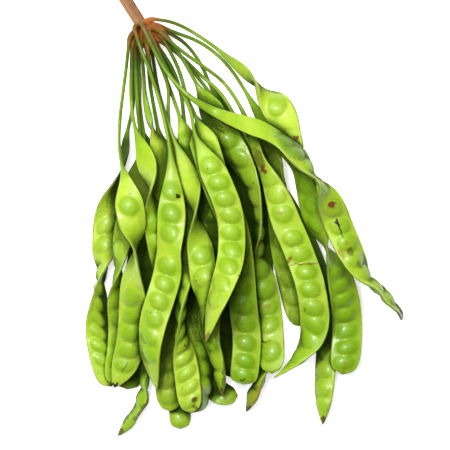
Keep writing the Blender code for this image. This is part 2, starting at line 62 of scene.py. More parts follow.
# A pod's blade
SEED_PITCH = 20.5
SEED_SHORTEST_HALF = 7.5
SEED_LONGEST_HALF = 12.5
SEED_HALF_WIDTH = 12.8
SEED_RELIEF = 4.6
SEED_SLANT = 0.14
SEED_DOME = 0.6
SEED_FILL = 0.52
SEED_SHIFT = 0.8
SEED_SIDE_SHIFT = 1.3
SEED_FULLNESS = (0.85, 1.08)
LAST_SEED_FULLNESS = 0.8
FIRST_SEED_IN_NECK = 0.75
LAST_SEED_IN_TIP = 0.45
WEB_HALF_THICKNESS = 2.4
RIM_HALF_THICKNESS = 1.2
NARROW_WEB = 0.35
NARROW_HALF_WIDTH = 14.0
TIP_REACH = 95.0
TIP_TAPER = 1.6
NIB_HALF_WIDTH = 1.6

# A pod's thin stalk
STALK_RADIUS = 2.25
BASE_SWELL = 1.0
BASE_REACH = 18.0
STALK_SIDE_THINNING = 0.59
STALK_SIDE_POWER = 2.2

# How the pods lie on each other
CLEARANCE = 1.0
SIDE_CLEARANCE = 0.8
REST_CUT = 0.8
PATH_STEP = 2.0
PILE_CELL = 2.0
PILE_REACH = 340.0
SETTLE_ROUNDS = 3
STALK_BEND_RADIUS = 50.0
BLADE_BEND_RADIUS = 160.0
SMOOTHING = 7.0
PILE_SECTION = np.linspace(-1.0, 1.0, 25)

# The fruiting stalk and its head
STUB_LENGTH = 8.0
STUB_FOOT = 0.125
STUB_ROOT_RADIUS = 4.6
STUB_ROOT_SPREAD = 0.3
STUB_ROOT_DROP = 3.0
STUB_ROOT_LOWEST = 6.0
STUB_ROOT_COVER = 8.0
HEAD_CENTRE = (147, 34)
HEAD_HALF_SIZE = (16.5, 16.5)
HEAD_HEIGHT = 34.0
HEAD_EDGE = 0.35
HEAD_BLOCKINESS = 3
WART_DEPTH = 0.05
WART_COUNTS = (9, 8, 7)
HEAD_SUBDIVISIONS = 5
HEAD_JOINT = (142, 25)
MAIN_STALK_RADIUS = 7.75
MAIN_STALK_ROUTE = [(112, -22), (119, -11), (126, 0), (133, 11), (140, 22), (147, 34)]

# blade_from is the number of the route's point where the blade starts, width is the blade's
# greatest width, neck is how long it takes to reach that width, and a blunt end has a high
# bluntness. A route's points are (x, y, roll), or (x, y) where the roll is 0 and the blade lies
# flat. seeds are the grid's y at each seed, where they aren't evenly spaced, and slant is how
# far along the blade a seed's crest moves for each millimetre off its middle.
POD_FIELDS = "name blade_from width neck bluntness route seeds slant"
Pod = namedtuple("Pod", POD_FIELDS, defaults=[None, SEED_SLANT])

PODS = [
    Pod("pod_01", 3, 33, 40, 4, [
        (138, 47), (139, 75), (138, 100), (141, 128, 20), (149, 152, 35), (151, 178, 10),
        (147, 215), (140, 260), (134, 305), (130, 350), (127, 390)]),
    Pod("pod_02", 2, 27, 40, 4, [
        (147, 52), (150, 85), (157, 125), (165, 170), (170, 220), (173, 275), (176, 330),
        (179, 380), (180, 430)]),
    Pod("pod_03", 2, 32, 50, 3, [
        (152, 53), (158, 90), (170, 130), (185, 175), (196, 225), (200, 280), (199, 330),
        (203, 365, -10), (210, 384, -20), (222, 395, -25), (238, 396, -25)]),
    Pod("pod_04", 2, 34, 35, 3, [
        (158, 46), (173, 78), (195, 115), (219, 160), (230, 205), (231, 255), (228, 300),
        (229, 335), (231, 378)]),
    Pod("pod_05", 3, 32, 55, 2, [
        (166, 31), (182, 40), (200, 62), (210, 84, 20), (223, 110, 45), (239, 140, 15),
        (252, 185), (259, 235), (261, 285), (261, 335), (262, 360, 20), (260, 379, 80),
        (254, 394, 58), (246, 413, 66)]),
    Pod("pod_06", 3, 34, 45, 3, [
        (162, 37), (184, 60), (208, 90), (230, 118), (251, 134, 10), (267, 147, 40),
        (275, 160, 60), (277, 175, 62), (278, 192, 45), (281, 222, 20), (285, 252), (291, 280),
        (303, 327)]),
    Pod("pod_07", 5, 30, 80, 1.8, [
        (160, 41), (176, 52), (200, 74), (220, 92), (234, 115), (248, 140, 20), (260, 162, 40),
        (272, 185, 30), (288, 212), (310, 255), (324, 300), (328, 342, 20), (325, 380, 35),
        (323, 426, 35)]),
    Pod("pod_08", 4, 32, 60, 2, [
        (156, 44), (165, 56), (174, 72), (181, 95), (184, 120), (189, 155), (190, 210),
        (190, 260), (194, 302, -10), (200, 338, -25), (204, 368, -50), (206, 392, -75),
        (201, 409, -85), (189, 413, -85)]),
    Pod("pod_09", 4, 34, 45, 3, [
        (133, 43), (134, 62), (134, 84), (132, 108, 10), (128, 126, 40), (125, 143, 60),
        (124, 163, 85), (117, 184, 108), (109, 206, 150), (106, 226, 178), (105, 244, 185),
        (102, 262, 235), (101, 272, 262), (100, 284, 282), (99, 300, 305), (97, 330, 335),
        (101, 352, 345), (111, 387, 350)],
        seeds=[225, 244, 274, 291, 305, 319, 333, 347, 361], slant=0.45),
    Pod("pod_10", 6, 24, 60, 2, [
        (136, 46), (138, 62), (140, 80), (139, 98), (141, 118), (145, 145), (147, 180, 10),
        (145, 235, 30), (145, 262, 20), (146, 290), (145, 325), (143, 350, 20), (144, 368, 50),
        (144, 386, 90), (143, 399, 50), (136, 412, 68), (128, 424, 42), (117, 437, 50)],
        seeds=[220, 240, 262, 283, 303, 323, 343, 362, 380, 399, 424]),
    Pod("pod_11", 3, 33, 45, 3, [
        (135, 46), (136, 80), (138, 115), (141, 145), (140, 175), (133, 205, 15), (124, 232, 40),
        (120, 254, 55), (118, 273, 85), (118, 293, 140), (121, 318, 180), (120, 350, 185),
        (114, 386, 185)],
        seeds=[205, 225, 250, 278, 298, 317, 340, 360]),
    Pod("pod_12", 5, 38, 115, 3, [
        (161, 26), (175, 32), (197, 40), (217, 54), (232, 70), (243, 87), (257, 111, 10),
        (273, 135, 38), (290, 152, 54), (302, 170, 56), (309, 190, 35), (315, 212, 25),
        (321, 234, 60), (328, 252, 100), (336, 268, 135), (343, 290, 160), (347, 315, 175),
        (347, 345, 180), (343, 375, 180)],
        seeds=[120, 141, 163, 185, 205, 224, 270, 284, 298, 314, 331, 348, 363]),
    Pod("pod_13", 2, 33, 125, 3, [
        (141, 50), (143, 66), (144, 82, 10), (145, 98, 20), (148, 114, 40), (152, 128, 80),
        (158, 142, 150), (162, 160, 150), (167, 200, 175), (170, 265, 180), (168, 315, 180),
        (167, 350, 180), (170, 412, 180)],
        seeds=[185, 208, 230, 250, 270, 290, 310, 328, 346, 363, 380, 396]),
    Pod("pod_14", 2, 30, 50, 2, [
        (156, 47), (166, 78), (178, 112), (191, 152), (204, 198), (212, 245), (213, 290),
        (209, 322, 20), (212, 343, 50), (218, 362, 60), (222, 396, 60)]),
    Pod("pod_15", 3, 32, 60, 2, [
        (132, 47), (131, 75), (131, 100), (134, 124, 15), (143, 151, 25), (150, 176, 55),
        (151, 194, 95), (154, 214, 145), (159, 240, 170), (165, 270, 180), (169, 305, 180)],
        seeds=[222, 241, 260, 279]),
    Pod("pod_16", 4, 39, 120, 3, [
        (155, 19), (170, 21), (185, 27), (200, 36), (212, 44), (225, 55, 10), (240, 68, 32),
        (252, 79, 68), (260, 87, 98), (267, 96, 138), (275, 105, 170), (281, 115, 185),
        (286, 127, 210), (290, 139, 224), (298, 158, 230)],
        seeds=[107, 138]),
    Pod("pod_17", 3, 34, 45, 3, [
        (164, 32), (174, 46), (185, 63), (195, 81), (207, 103, 25), (218, 122, 15), (229, 141, 5),
        (241, 161, 30), (252, 186, 55), (258, 211, 75), (260, 236, 88), (258, 258, 115),
        (263, 280, 160), (267, 302, 175), (270, 330, 185), (272, 374, 195)],
        seeds=[139, 158, 178, 198, 215, 232, 249, 269, 290, 308, 325, 352]),
    Pod("pod_18", 5, 32, 50, 3, [
        (151, 39), (160, 64), (168, 86), (168, 116), (172, 146), (179, 180), (186, 220),
        (187, 250, 30), (184, 280, 55), (181, 308, 85), (180, 330, 100), (183, 350, 145),
        (187, 374, 180), (191, 413, 185)],
        seeds=[235, 255, 275, 293, 311, 329, 344, 358, 373, 388, 401], slant=0.45),
    Pod("pod_19", 4, 34, 70, 2, [
        (148, 49), (151, 72), (158, 93), (166, 116), (173, 137), (181, 156), (189, 182, 25),
        (195, 210, 80), (197, 231, 125), (201, 253, 175), (203, 277, 195), (204, 297, 235),
        (202, 316, 265), (207, 338, 270)],
        seeds=[256, 277, 297]),
    Pod("pod_20", 5, 36, 60, 2, [
        (129, 41), (127, 62), (123, 92), (119, 125, 15), (119, 145, 35), (121, 160, 50),
        (126, 182, 25), (130, 206), (133, 225, -20), (136, 243, -75), (135, 258, -102),
        (133, 275, -128), (133, 300, -160), (132, 332, -178), (128, 355, -180), (114, 388, -180)],
        seeds=[206, 296, 314, 332, 350, 365]),
    Pod("pod_21", 4, 36, 35, 4, [
        (163, 39), (171, 53), (180, 73), (187, 98), (196, 117, 10), (204, 143), (217, 185),
        (234, 228), (240, 268), (243, 305), (247, 340), (243, 385)],
        seeds=[150, 170, 190, 210, 229, 248, 267, 286, 305, 324, 343, 361, 376]),
    Pod("pod_22", 5, 37, 175, 1.4, [
        (160, 32), (173, 44), (190, 57), (206, 68), (222, 80), (236, 99), (247, 121, 10),
        (254, 141, 25), (260, 160, 50), (266, 171, 45), (272, 183, 30), (279, 201, 12),
        (286, 222), (294, 240), (302, 260), (309, 280), (313, 300), (315, 322, 8), (311, 340, 36),
        (302, 355, 52), (289, 367, 58), (274, 378, 50)],
        seeds=[178, 195, 213, 238, 254, 272, 289, 307, 324, 341, 357]),
    Pod("pod_23", 5, 36, 95, 1.7, [
        (135, 31), (140, 47), (148, 66), (156, 90), (164, 119), (169, 143), (172, 172),
        (172, 205), (171, 233, 20), (169, 252, 35), (168, 272, 10), (161, 297), (153, 324, 20),
        (150, 350, 45), (157, 390, 50)],
        seeds=[191, 214, 233, 266, 284, 301, 318, 336, 353]),
    Pod("pod_24", 5, 34, 62, 1.7, [
        (153, 41), (162, 60), (173, 80), (186, 100), (192, 116), (194, 132), (203, 152),
        (219, 184), (229, 211), (232, 238), (230, 262, 10), (223, 284, 30), (214, 309, 50),
        (206, 341, 50)],
        seeds=[166, 183, 199, 215, 233, 250, 267, 284, 300]),
    Pod("pod_25", 3, 35, 215, 3, [
        (143, 27), (150, 42), (160, 62), (171, 78), (185, 93), (205, 107), (228, 118),
        (250, 126, -10), (267, 133, -42), (283, 143, -54), (296, 155, -44), (306, 167, -62),
        (316, 180, -95), (323, 192, -52), (331, 207, -8), (341, 232, -4), (352, 255, -25),
        (362, 272, -50), (374, 285, -86), (385, 295, -62), (393, 304, -86), (404, 318, -62)],
        seeds=[143, 155, 167, 187, 207, 226, 243, 259, 273, 286, 298]),
]

# The fine section: the step along a pod, the points across one side, the margin's bead, the
# seeds' soft foot, the rounded end, and how far the stalk reaches into its stub
STATION_STEP = 1.8
SIDE_POINTS = 29
BEAD_RADIUS = 1.2
BEAD_SHARE = 0.6
BEAD_BLEND = 6
FINE_RIM_HALF_THICKNESS = 0.9
DOME_SOFTNESS = 0.04
NIB_ROUND = 4.0
LAST_RING_SHARE = 0.15
STALK_IN_STUB = 1.2

# How the open sky over a point is measured: how many ways are looked in, and how far
SKY_WAYS = 12
SKY_REACHES = (3.0, 6.0, 9.0, 13.0)

# The head and the main stalk, as one grown surface
STEM_VOXEL = 0.7
STEM_SMOOTHING = 14
STEM_SIDES = 40
STUB_RINGS = 9
STUB_SHRINKAGE = 0.35

# The light and the floor, in metres and watts
WORLD_STRENGTH = 0.03
SOFT_PLACE = (-0.5, 0.6, 2.2)
SOFT_SIZE = 2.6
SOFT_POWER = 83.0
SPARKLE_PLACE = (-0.55, 0.7, 3.0)
SPARKLE_SIZE = 0.35
SPARKLE_POWER = 62.0
FLOOR_SIZE = 6.0
FLOOR_GLOW = 0.6
VIEW_GAMMA = 0.9

# A mark on a pod's skin: its middle on the grid, its half-length and half-width in grid
# squares, how far it is turned anticlockwise, its colour and how strong it is.
Mark = namedtuple("Mark", "pod x y half_length half_width turn colour strength")

RUST = (0.17, 0.05, 0.02)
UMBER = (0.075, 0.035, 0.01)
BLACK = (0.015, 0.013, 0.008)
OCHRE = (0.25, 0.16, 0.02)
# grey wax bloom, and painted sheen: a grey reflection on pod_25's sloping faces
GREY_WAX_AND_SHEEN = (0.3, 0.37, 0.25)
# painted shade on pod_25's tilted upper face
TILTED_FACE_SHADE = (0.1, 0.19, 0.03)

MARKS = [
    Mark("pod_20", 113, 387, 5.5, 4.0, 20, BLACK, 0.95),
    Mark("pod_20", 131, 195, 2.2, 0.8, -15, BLACK, 0.8),
    Mark("pod_20", 124, 368, 6.0, 1.2, 60, UMBER, 0.5),
    Mark("pod_23", 178, 196, 3.6, 1.5, -30, BLACK, 0.95),
    Mark("pod_23", 159, 383, 3.0, 1.2, -75, UMBER, 0.7),
    # a brown streak along the neck's left side, partly painted shade on that rolled side
    Mark("pod_22", 259.5, 160, 14.0, 4.4, -68, UMBER, 0.62),
    Mark("pod_22", 263.5, 170, 5.5, 2.2, -68, RUST, 0.95),
    Mark("pod_22", 303, 264, 16.5, 0.9, 4, RUST, 0.8),
    Mark("pod_22", 289.5, 260, 4.2, 1.9, 55, RUST, 0.75),
    Mark("pod_22", 287.5, 267, 2.4, 1.6, 0, RUST, 0.8),
    Mark("pod_22", 279, 213, 3.0, 2.0, 0, OCHRE, 0.55),
    Mark("pod_22", 305, 310, 2.6, 1.2, 60, UMBER, 0.6),
    Mark("pod_25", 331.5, 204.5, 4.6, 3.4, 65, RUST, 0.97),
    Mark("pod_25", 337, 223, 4.0, 1.5, -55, BLACK, 0.95),
    Mark("pod_25", 340, 230, 7.5, 0.8, -68, BLACK, 0.95),
    Mark("pod_25", 350, 252, 5.5, 3.4, -60, UMBER, 0.6),
    Mark("pod_25", 346, 243, 3.0, 2.4, 0, OCHRE, 0.5),
    Mark("pod_25", 341, 254, 6.0, 2.4, -50, OCHRE, 0.55),
    Mark("pod_25", 359, 265, 4.0, 3.0, -50, UMBER, 0.5),
    # painted sheen: a grey reflection along pod_25's sloping right edge
    Mark("pod_25", 363, 262, 12.0, 2.0, -64, GREY_WAX_AND_SHEEN, 0.5),
    Mark("pod_25", 315, 183, 5.0, 1.4, -38, UMBER, 0.7),
    Mark("pod_25", 322, 190, 6.0, 1.0, -45, UMBER, 0.45),
    # painted shade on pod_25's upper face, which slopes away
    Mark("pod_25", 290, 147, 21.0, 7.0, -46, TILTED_FACE_SHADE, 0.6),
    # painted sheen: a grey reflection on the same sloping face
    Mark("pod_25", 301, 150, 24.0, 2.6, -50, GREY_WAX_AND_SHEEN, 0.4),
    Mark("pod_25", 403, 316, 6.5, 5.0, -40, UMBER, 0.9),
    Mark("pod_25", 394, 305, 7.0, 1.6, -45, UMBER, 0.5),
    Mark("pod_16", 295.5, 138, 3.8, 2.0, -20, RUST, 0.95),
    Mark("pod_06", 271, 142, 5.5, 1.3, 0, RUST, 0.7),
    Mark("pod_17", 262, 342, 9.0, 0.9, 3, UMBER, 0.85),
    Mark("pod_17", 260, 242, 2.4, 1.6, 80, RUST, 0.85),
    Mark("pod_17", 258, 226, 2.0, 1.0, 30, BLACK, 0.8),
    Mark("pod_17", 267, 306, 4.5, 3.2, 20, OCHRE, 0.5),
    Mark("pod_12", 345, 366, 7.0, 3.0, 70, OCHRE, 0.3),
    Mark("pod_18", 194, 400, 3.0, 2.0, 40, UMBER, 0.85),
    Mark("pod_18", 185, 346, 1.8, 1.4, 0, RUST, 0.85),
    Mark("pod_18", 197, 408, 5.0, 3.0, -30, UMBER, 0.6),
    Mark("pod_24", 207, 336, 6.0, 2.4, 60, RUST, 0.7),
    Mark("pod_21", 243, 380, 2.4, 1.5, 0, BLACK, 0.7),
    Mark("pod_14", 224, 370, 22.0, 1.8, 88, UMBER, 0.7),
    Mark("pod_14", 222, 392, 5.0, 3.5, 80, UMBER, 0.85),
    Mark("pod_10", 150, 397, 14.0, 1.6, 75, UMBER, 0.7),
    Mark("pod_10", 141, 411, 16.0, 1.6, 52, UMBER, 0.7),
    Mark("pod_10", 124, 421, 9.0, 1.8, 48, UMBER, 0.8),
    Mark("pod_10", 119, 433, 6.0, 5.0, 45, UMBER, 0.8),
    Mark("pod_07", 324, 421, 5.0, 3.0, 85, UMBER, 0.9),
    Mark("pod_05", 254, 396, 14.0, 4.0, 62, OCHRE, 0.5),
    Mark("pod_05", 247, 411, 6.5, 4.5, 50, UMBER, 0.9),
    Mark("pod_08", 204, 398, 14.0, 6.0, 70, GREY_WAX_AND_SHEEN, 0.5),
    Mark("pod_03", 214, 390, 12.0, 1.4, -45, UMBER, 0.6),
    Mark("pod_09", 104, 283, 10.0, 2.0, 80, UMBER, 0.45),
]

# Painted shade: how much deeper each pod's green is painted than the rest's
LOW_POD_PAINTED_SHADE = {
    "pod_05": 0.4, "pod_08": 0.3, "pod_10": 0.35, "pod_12": 0.15, "pod_17": 0.3, "pod_21": 0.1,
}

# How much deeper the green is over a seed, on most pods and on some, and the painted shade in a
# ring round each seed's foot
SEED_SHARE = 0.34
SEED_SHARES = {"pod_12": 0.6, "pod_20": 0.5, "pod_21": 0.7, "pod_23": 0.5}
SEED_RING_SHADE_SHARE = 0.28

# Painted shade: how far skin that other pods hide turns to a deep green, on most blades, on some
# and on the thin stalks, and the shares of open sky at which it does so fully and not at all
PAINTED_SHADE_SHARE = 0.92
PAINTED_SHADE_SHARES = {"pod_06": 0.75, "pod_11": 0.75, "pod_12": 0.5, "pod_13": 0.8}
PAINTED_SHADE_STALK_SHARE = 0.4
PAINTED_SHADE_SKY = (0.38, 0.84)

# Skin and bark colours, linear
LIME = (0.29, 0.445, 0.022)
YELLOW_LIME = (0.39, 0.51, 0.05)
# also the colour of the painted shade over some whole pods and in the rings round the seeds
DEEP_LIME = (0.15, 0.29, 0.006)
SEED_GREEN = (0.15, 0.31, 0.005)
# the margin's dark line: the suture's own darker green, and painted shade on the edge
SEAM_AND_EDGE_SHADE_GREEN = (0.08, 0.16, 0.006)
# painted shade: the deep green that skin hidden from the sky by other pods is turned to
PAINTED_SHADE_GREEN = (0.014, 0.042, 0.0)
MARGIN_LIME = (0.43, 0.55, 0.11)
STALK_GREEN = (0.2, 0.32, 0.022)
# also the colour of the painted shade on the thin stalks' sides
STALK_OLIVE = (0.085, 0.15, 0.015)
STALK_ROOT = (0.18, 0.1, 0.013)
TIP_BROWN = (0.12, 0.06, 0.015)
BARK_TAN = (0.273, 0.141, 0.058)
BARK_PINK = (0.21, 0.099, 0.045)
# painted light: the paler streak down the lit side of the main stalk
BARK_PAINTED_LIGHT = (0.378, 0.235, 0.134)
HEAD_ORANGE = (0.42, 0.145, 0.03)
HEAD_RED = (0.19, 0.045, 0.014)
HEAD_BLACK = (0.02, 0.008, 0.006)
FLOOR_WHITE = (0.93, 0.93, 0.93)

# How fine each pattern is: the noise's scale on a mesh in metres
BROAD_SCALE = 9.0
PATCH_SCALE = 22.0
SPECK_SCALE = 52.0
DENT_SCALE = 75.0
MOTTLE_SCALE = 170.0
WARP_SCALE = 190.0
GRAIN_SCALE = 900.0
BARK_PATCH_SCALE = 90.0
BARK_GRAIN_SCALE = 700.0

# How far a pod's patterns are moved for each pod before it, in metres
PATTERN_SHIFT = (1.0, 0.37, 0.0)

# The veins' scale along and across a blade in millimetres, and the scale of the bark's grain
# along, across and up in metres
VEIN_SCALES = (0.55, 0.05)
BARK_LINE_SCALES = (60.0, 700.0, 700.0)

# How far a mark's place is warped in metres, how ragged its edge is, and where it fades
MARK_WARP = 0.009
MARK_RAGGEDNESS = 1.4
MARK_EDGE = (1.15, 0.75)

# Shine, and each bump's strength and its distance in metres
SKIN_ROUGHNESS = (0.36, 0.5)
HIDDEN_ROUGHNESS = (0.3, 0.85)
SKIN_SPECULAR = 0.14
SKIN_COAT = 0.34
SKIN_COAT_ROUGHNESS = 0.23
SKIN_BUMP = (0.5, 0.0009)
BARK_ROUGHNESS = (0.5, 0.72)
BARK_SPECULAR = 0.2
BARK_BUMP = (0.6, 0.001)
FLOOR_ROUGHNESS = 0.8


def on_sheet(points):
    """Grid points as millimetres about the middle of the bunch, with y up."""
    grid = np.asarray(points, float)
    sheet = grid.copy()
    sheet[:, 0] = (grid[:, 0] - GRID_CENTRE[0]) * GRID
    sheet[:, 1] = (GRID_CENTRE[1] - grid[:, 1]) * GRID
    return sheet


def smoothed(values, spread):
    """The values along a path, blurred by a bell curve whose spread is in steps."""
    reach = int(3 * spread)
    offsets = np.arange(-reach, reach + 1)
    weights = np.exp(-0.5 * (offsets / spread) ** 2)
    padded = np.pad(values, reach, mode="reflect", reflect_type="odd")
    return np.convolve(padded, weights / weights.sum(), mode="valid")


def spline_through(points):
    """A smooth curve through the points, read every PATH_STEP, and how far along it each lies."""
    chords = np.linalg.norm(np.diff(points[:, :2], axis=0), axis=1)
    knots = np.concatenate([[0.0], np.cumsum(chords)])
    slopes = np.gradient(points, knots, axis=0)
    places = np.linspace(0.0, knots[-1], int(round(knots[-1] / PATH_STEP)) + 1)
    span = np.clip(np.searchsorted(knots, places, side="right") - 1, 0, len(chords) - 1)
    length = chords[span][:, None]
    t = ((places - knots[span]) / chords[span])[:, None]
    rows = (
        (2 * t**3 - 3 * t**2 + 1) * points[span]
        + (t**3 - 2 * t**2 + t) * length * slopes[span]
        + (3 * t**2 - 2 * t**3) * points[span + 1]
        + (t**3 - t**2) * length * slopes[span + 1]
    )
    rows = np.column_stack([smoothed(column, SMOOTHING / PATH_STEP) for column in rows.T])
    return rows, knots


def web_half_thickness(half_width, across, rim):
    """Half of the thickness between the seeds, which thins towards the rim."""
    web = WEB_HALF_THICKNESS - (WEB_HALF_THICKNESS - rim) * across**2
    return web * np.minimum(1.0, NARROW_WEB + half_width / NARROW_HALF_WIDTH)


class PodShape:
    """A pod's route over the sheet and the size of its section at each place along it."""

    def __init__(self, pod):
        self.pod = pod
        points = on_sheet([(*point, 0.0)[:3] for point in pod.route])
        lead = points[0, :2] - points[1, :2]
        lead *= STUB_LENGTH / np.linalg.norm(lead)
        points = np.vstack([[*(points[0, :2] + lead), points[0, 2]], points])
        rows, knots = spline_through(points)
        self.sheet = rows[:, :2]
        self.roll = np.radians(rows[:, 2])
        steps = np.linalg.norm(np.diff(self.sheet, axis=0), axis=1)
        self.along = np.concatenate([[0.0], np.cumsum(steps)])
        self.length = self.along[-1]
        self.blade_start = knots[pod.blade_from + 1] * self.length / knots[-1]
        self.tip_start = self.length - TIP_REACH / pod.bluntness
        self.seeds = self.place_seeds()

    def place_seeds(self):
        """Where each seed lies along the blade, half its length, how full it is and how far off
        the blade's middle."""
        rng = np.random.default_rng(int(self.pod.name[-2:]))
        if self.pod.seeds:
            levels = (GRID_CENTRE[1] - np.array(self.pod.seeds)) * GRID
            places = np.interp(-levels, -self.sheet[:, 1], self.along)
        else:
            first = self.blade_start + FIRST_SEED_IN_NECK * self.pod.neck
            last = self.length - LAST_SEED_IN_TIP * TIP_REACH / self.pod.bluntness
            count = int((last - first) / SEED_PITCH)
            places = np.linspace(first, last, count)
            places += rng.uniform(-SEED_SHIFT, SEED_SHIFT, count)
        gaps = np.diff(places)
        nearest = np.minimum(np.append(gaps, gaps[-1]), np.insert(gaps, 0, gaps[0]))
        half_length = np.clip(SEED_FILL * nearest, SEED_SHORTEST_HALF, SEED_LONGEST_HALF)
        fullness = rng.uniform(*SEED_FULLNESS, len(places))
        fullness[-1] *= LAST_SEED_FULLNESS
        aside = rng.uniform(-SEED_SIDE_SHIFT, SEED_SIDE_SHIFT, len(places))
        return places, half_length, fullness, aside

    def stalk_radius(self, along):
        """The thin stalk swells towards its base."""
        return STALK_RADIUS + BASE_SWELL * np.clip(1.0 - along / BASE_REACH, 0.0, 1.0) ** 2

    def fullness(self, along):
        """0 in the thin stalk, 1 where the blade has its full width."""
        t = np.clip((along - self.blade_start) / self.pod.neck, 0.0, 1.0)
        return t * t * (3 - 2 * t)

    def half_width(self, along):
        """Half of the width, from the thin stalk through the blade to the tip's nib."""
        blade = self.fullness(along)
        t = np.clip((along - self.tip_start) / (self.length - self.tip_start), 0.0, 1.0)
        tip = (1.0 - t**self.pod.bluntness) ** (TIP_TAPER / self.pod.bluntness)
        stalk = self.stalk_radius(along)
        full = (stalk + (self.pod.width / 2 - stalk) * blade) * tip
        return np.maximum(full, NIB_HALF_WIDTH)

    def half_thickness(self, along, across):
        """Half of the blade's thickness, at a part across of its half-width."""
        half_width = self.half_width(along)
        blade = self.fullness(along)
        side = STALK_SIDE_THINNING * np.abs(across) ** STALK_SIDE_POWER
        round_stalk = self.stalk_radius(along) * (1.0 - side)
        web = web_half_thickness(half_width, across, RIM_HALF_THICKNESS)
        relief, _ = self.seed_relief(along, across * half_width)
        return round_stalk * (1.0 - blade) + (web + relief) * blade

    def seed_relief(self, along, off_centre, softness=0.0):
        """How high the seeds lift the blade, and 0 to 1 for how far up a seed's dome a place is."""
        relief = np.zeros(np.broadcast(along, off_centre).shape)
        dome = relief.copy()
        for place, half_length, full, aside in zip(*self.seeds):
            beyond = along - place - self.pod.slant * off_centre
            sideways = (off_centre - aside) / SEED_HALF_WIDTH
            inside = 1.0 - (beyond / half_length) ** 2 - sideways**2
            inside = (inside + np.sqrt(inside**2 + softness)) / 2
            relief = np.maximum(relief, full * SEED_RELIEF * inside**SEED_DOME)
            dome = np.maximum(dome, np.minimum(inside, 1.0))
        narrow = np.minimum(1.0, self.half_width(along) / SEED_HALF_WIDTH)
        return relief * narrow**2, dome

    def sideways(self):
        """A unit vector on the sheet, square to the route, at each step."""
        ahead = np.gradient(self.sheet, axis=0)
        ahead /= np.linalg.norm(ahead, axis=1)[:, None]
        return np.column_stack([-ahead[:, 1], ahead[:, 0]])

    def pile_points(self, margin):
        """The surface's points on the sheet, and how high each is above the middle line."""
        along = self.along[:, None]
        across = PILE_SECTION[None, :]
        out = across * (self.half_width(along) + margin)
        thick = self.half_thickness(along, across)
        out = np.concatenate([out, out], axis=1)
        thick = np.concatenate([thick, -thick], axis=1)
        roll = self.roll[:, None]
        lateral = out * np.cos(roll) - thick * np.sin(roll)
        height = out * np.sin(roll) + thick * np.cos(roll)
        places = self.sheet[:, None, :] + lateral[:, :, None] * self.sideways()[:, None, :]
        return places, height


class Pile:
    """The height of what is already on the surface, over a grid of small cells."""

    def __init__(self):
        side = np.arange(-PILE_REACH, PILE_REACH + PILE_CELL, PILE_CELL)
        over_head = head_top(np.stack(np.meshgrid(side, side, indexing="ij"), axis=-1))
        self.top = np.where(over_head > 0, over_head, -REST_CUT - CLEARANCE)

    def cells(self, places):
        """The cells that hold the places."""
        index = np.round((places + PILE_REACH) / PILE_CELL).astype(int)
        return index[..., 0], index[..., 1]

    def settle(self, shape):
        """Lay the pod down on what is under it, and return the height of its middle line."""
        places, height = shape.pile_points(SIDE_CLEARANCE)
        needed = (self.top[self.cells(places)] - height).max(axis=1) + CLEARANCE
        blade = shape.fullness(shape.along)
        bend = STALK_BEND_RADIUS + (BLADE_BEND_RADIUS - STALK_BEND_RADIUS) * blade
        steps = np.diff(shape.along) / np.sqrt(2 * bend[1:])
        warped = np.concatenate([[0.0], np.cumsum(steps)])
        drop = (warped[:, None] - warped[None, :]) ** 2
        wanted = needed.copy()
        for _ in range(SETTLE_ROUNDS):
            line = smoothed((wanted[None, :] - drop).max(axis=1), SMOOTHING / PATH_STEP)
            wanted += np.maximum(needed - line, 0.0)
        places, height = shape.pile_points(0.0)
        np.maximum.at(self.top, self.cells(places), line[:, None] + height)
        return line

    def open_sky(self, points):
        """0 to 1 for how much of the sky over each point isn't hidden by what lies round it."""
        hidden = np.zeros(len(points))
        for turn in np.arange(SKY_WAYS) * 2 * math.pi / SKY_WAYS:
            way = np.array([math.cos(turn), math.sin(turn)])
            steepest = np.zeros(len(points))
            for reach in SKY_REACHES:
                rise = self.top[self.cells(points[:, :2] + reach * way)] - points[:, 2]
                steepest = np.maximum(steepest, rise / reach)
            hidden += steepest**2 / (1.0 + steepest**2)
        return 1.0 - hidden / SKY_WAYS


def head_top(places):
    """How high the head stands over a place on the sheet."""
    centre = on_sheet([HEAD_CENTRE])[0]
    inside = 1.0 - (((places - centre) / HEAD_HALF_SIZE) ** 2).sum(axis=-1)
    return HEAD_HEIGHT * np.maximum(inside, 0.0) ** HEAD_EDGE


def lay_pods():
    """Every pod's shape with the height of its middle line, and the pile that they make."""
    pile = Pile()
    laid = []
    for pod in PODS:
        shape = PodShape(pod)
        shape.line = pile.settle(shape)
        laid.append(shape)
    return laid, pile


def read_at(stations, along, columns):
    """Each column's value at the stations."""
    return np.column_stack([np.interp(stations, along, column) for column in columns.T])


def frames(shape, stations):
    """The middle line's points and the two directions of the section at the stations."""
    middle = np.column_stack([shape.sheet, shape.line])
    ahead = np.gradient(middle, shape.along, axis=0)
    centres = read_at(stations, shape.along, middle)
    ahead = read_at(stations, shape.along, ahead)
    ahead /= np.linalg.norm(ahead, axis=1)[:, None]
    side = np.cross([0.0, 0.0, 1.0], ahead)
    side /= np.linalg.norm(side, axis=1)[:, None]
    up = np.cross(ahead, side)
    roll = np.interp(stations, shape.along, shape.roll)[:, None]
    across = np.cos(roll) * side + np.sin(roll) * up
    face = np.cos(roll) * up - np.sin(roll) * side
    return centres, across, face


